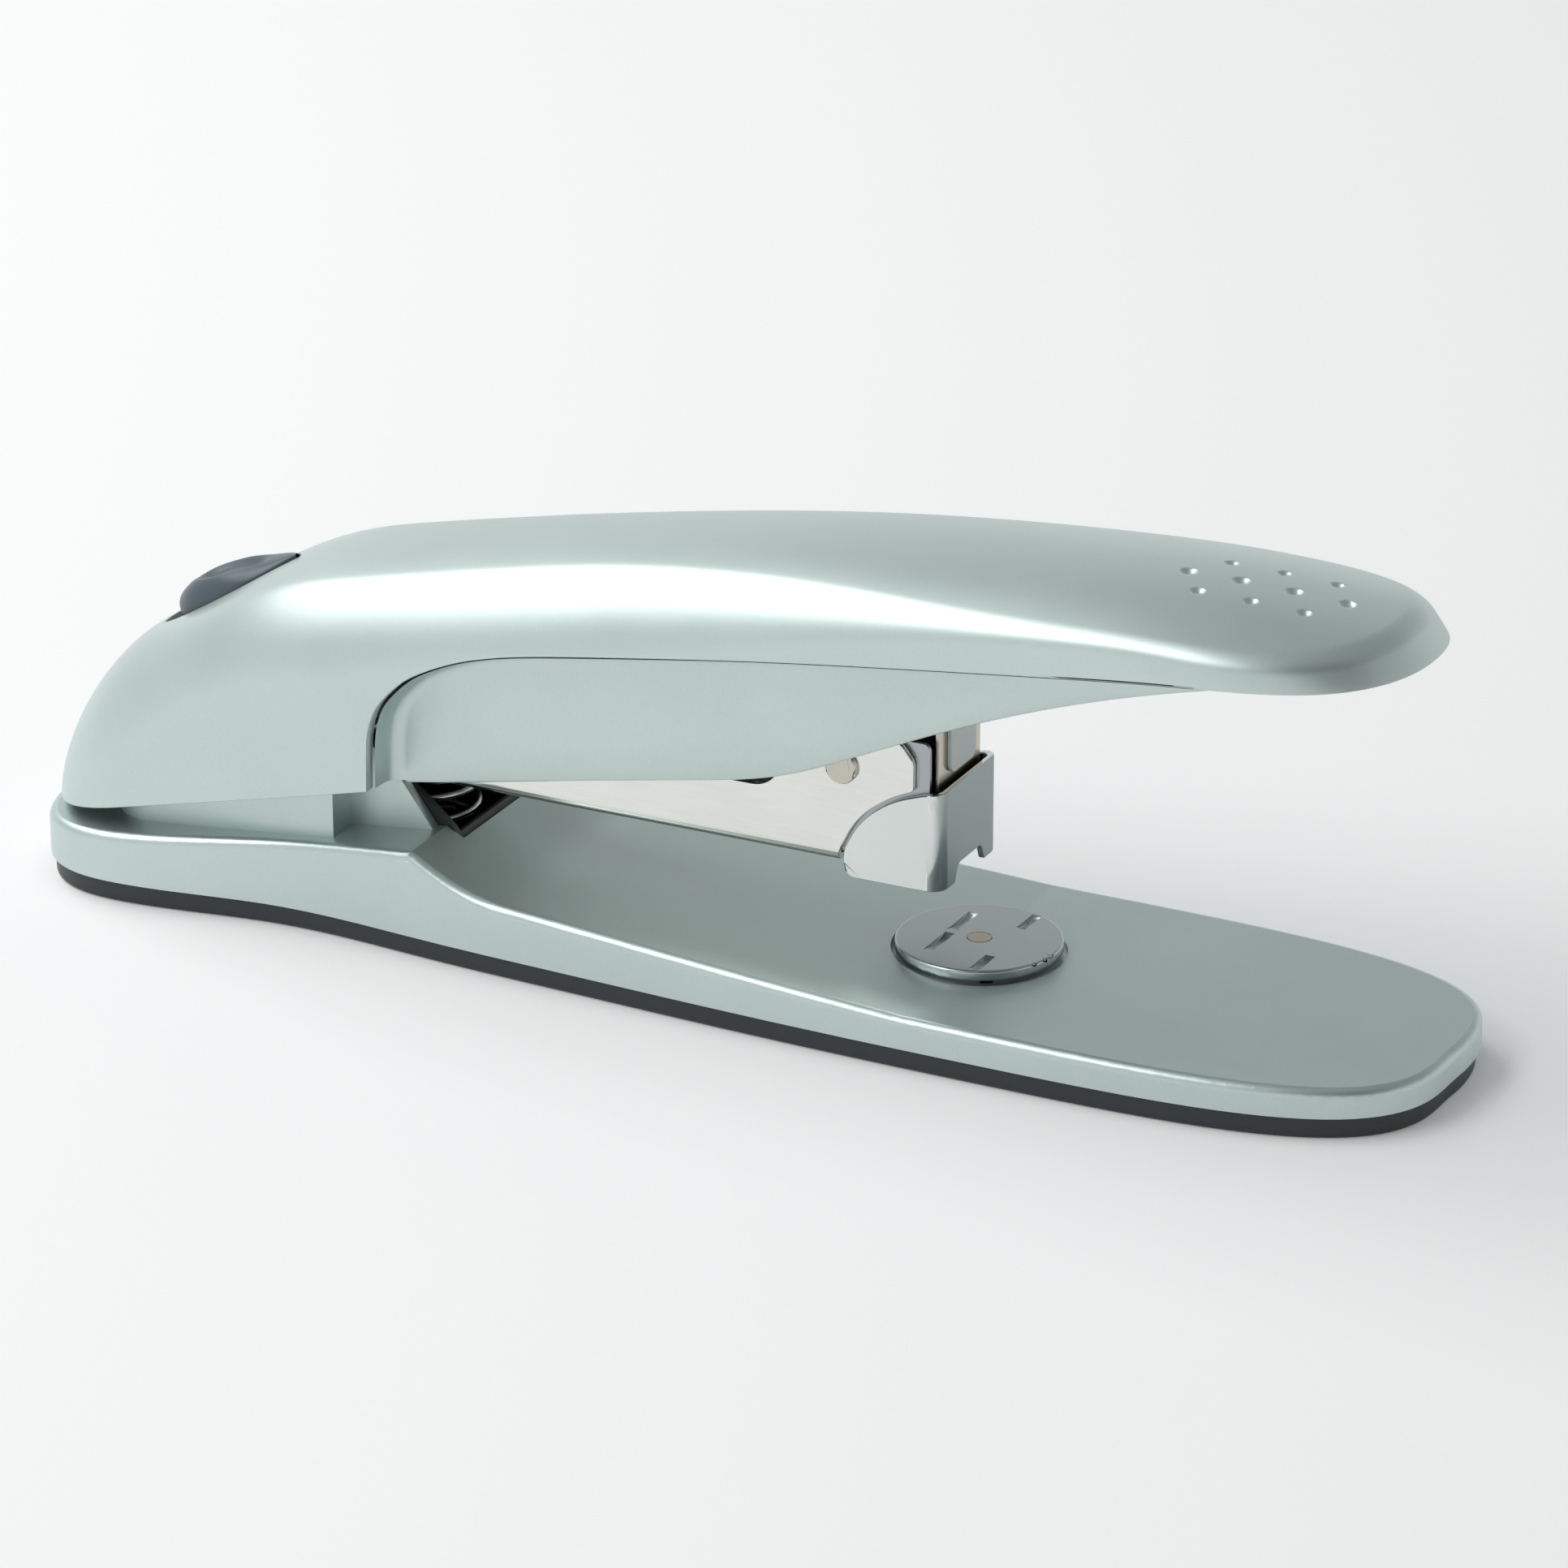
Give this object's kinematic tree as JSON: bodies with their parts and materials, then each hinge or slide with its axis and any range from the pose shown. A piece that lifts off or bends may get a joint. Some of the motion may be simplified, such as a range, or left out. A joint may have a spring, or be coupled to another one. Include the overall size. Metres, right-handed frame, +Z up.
{
  "type": "desktop stapler",
  "caption": "Desktop stapler with a turning anvil, sprung lever, front-opening staple drawer and sliding release button.",
  "frame": {"origin": "centre of the sole, on the surface that the stapler stands on", "axes": "+X towards the nose, +Z up, +Y to the left of a user at the rear"},
  "size_m": [0.1901, 0.0462, 0.0612],
  "materials": {
    "base_cover": "satin",
    "base_sole": "matt",
    "base_screws": "plain",
    "base_plate": "zinc plated",
    "pivot_bracket": "zinc plated",
    "bracket_rivets": "plain",
    "pivot_pin": "ground",
    "pin_clips": "blackened spring steel",
    "spring_box": "matt",
    "return_spring": "drawn wire",
    "anvil_rivet": "nickelled",
    "anvil_washer": "spring steel",
    "anvil_disc": "polished",
    "magazine_channel": "bright nickel",
    "magazine_rivets": "nickelled",
    "channel_bridge": "plain",
    "lever_spring": "drawn wire",
    "latch_pin": "ground",
    "drawer_latch": "hardened",
    "drawer_channel": "bright nickel",
    "staple_core": "zinc plated",
    "guide_rod": "ground",
    "drawer_tail": "matt",
    "pusher_spring": "drawn wire",
    "nose_plate": "polished",
    "staple_pusher": "matt",
    "driver_blade": "hardened",
    "blade_tongue": "translucent nylon",
    "lever_cover": "satin",
    "lever_side_panel": "satin",
    "lever_frame": "zinc plated",
    "lever_screws": "zinc plated",
    "button_spring": "drawn wire",
    "release_button": "satin",
    "button_push_rod": "plain"
  },
  "bodies": {
    "base": {"base_cover": "base_cover", "base_sole": "base_sole", "base_screws": "base_screws", "base_plate": "base_plate", "pivot_bracket": "pivot_bracket", "bracket_rivets": "bracket_rivets", "pivot_pin": "pivot_pin", "pin_clips": "pin_clips", "spring_box": "spring_box", "return_spring": "return_spring", "anvil_rivet": "anvil_rivet", "anvil_washer": "anvil_washer"},
    "anvil": {"anvil_disc": "anvil_disc"},
    "magazine": {"magazine_channel": "magazine_channel", "magazine_rivets": "magazine_rivets", "channel_bridge": "channel_bridge", "lever_spring": "lever_spring", "latch_pin": "latch_pin"},
    "latch": {"drawer_latch": "drawer_latch"},
    "drawer": {"drawer_channel": "drawer_channel", "staple_core": "staple_core", "guide_rod": "guide_rod", "drawer_tail": "drawer_tail", "pusher_spring": "pusher_spring", "nose_plate": "nose_plate"},
    "pusher": {"staple_pusher": "staple_pusher"},
    "driver": {"driver_blade": "driver_blade", "blade_tongue": "blade_tongue"},
    "lever": {"lever_cover": "lever_cover", "lever_side_panel": "lever_side_panel", "lever_frame": "lever_frame", "lever_screws": "lever_screws", "button_spring": "button_spring"},
    "button": {"release_button": "release_button", "button_push_rod": "button_push_rod"}
  },
  "joints": [
    {"name": "anvil_turn", "type": "hinge", "parent": "base", "child": "anvil", "pos_m": [0.0318, 0, 0.0086], "axis": [0, 0, 1], "range_deg": [0, 180]},
    {"name": "magazine_pivot", "type": "hinge", "parent": "base", "child": "magazine", "pos_m": [-0.072, 0, 0.022], "axis": [0, 1, 0], "range_deg": [0, 4.6], "stiffness_Nm_per_rad": 3, "springref_deg": -9.17, "deforming": ["return_spring"]},
    {"name": "lever_pivot", "type": "hinge", "parent": "magazine", "child": "lever", "pos_m": [-0.072, 0, 0.022], "axis": [0, 1, 0], "range_deg": [0, 4.6], "stiffness_Nm_per_rad": 2, "springref_deg": -9.17, "deforming": ["lever_spring"]},
    {"name": "drawer_slide", "type": "slide", "parent": "magazine", "child": "drawer", "axis": [-1, 0, 0], "range_m": [-0.07, 0]},
    {"name": "pusher_slide", "type": "slide", "parent": "drawer", "child": "pusher", "axis": [1, 0, 0], "range_m": [-0.07, 0], "stiffness_N_per_m": 15, "springref_m": 0.05, "deforming": ["pusher_spring"]},
    {"name": "driver_slide", "type": "slide", "parent": "magazine", "child": "driver", "axis": [0, 0, -1], "range_m": [0, 0.0081]},
    {"name": "button_slide", "type": "slide", "parent": "lever", "child": "button", "axis": [-0.8536, 0, -0.521], "range_m": [0, 0.0022], "stiffness_N_per_m": 300, "springref_m": -0.004, "deforming": ["button_spring"]},
    {"name": "latch_turn", "type": "hinge", "parent": "magazine", "child": "latch", "pos_m": [-0.065, 0, 0.028], "axis": [0, 1, 0], "range_deg": [-30, 0]}
  ],
  "couplings": [
    {"joint": "driver_slide", "follows": "lever_pivot", "m_per_rad": 0.1},
    {"joint": "latch_turn", "follows": "button_slide", "rad_per_m": -237}
  ]
}
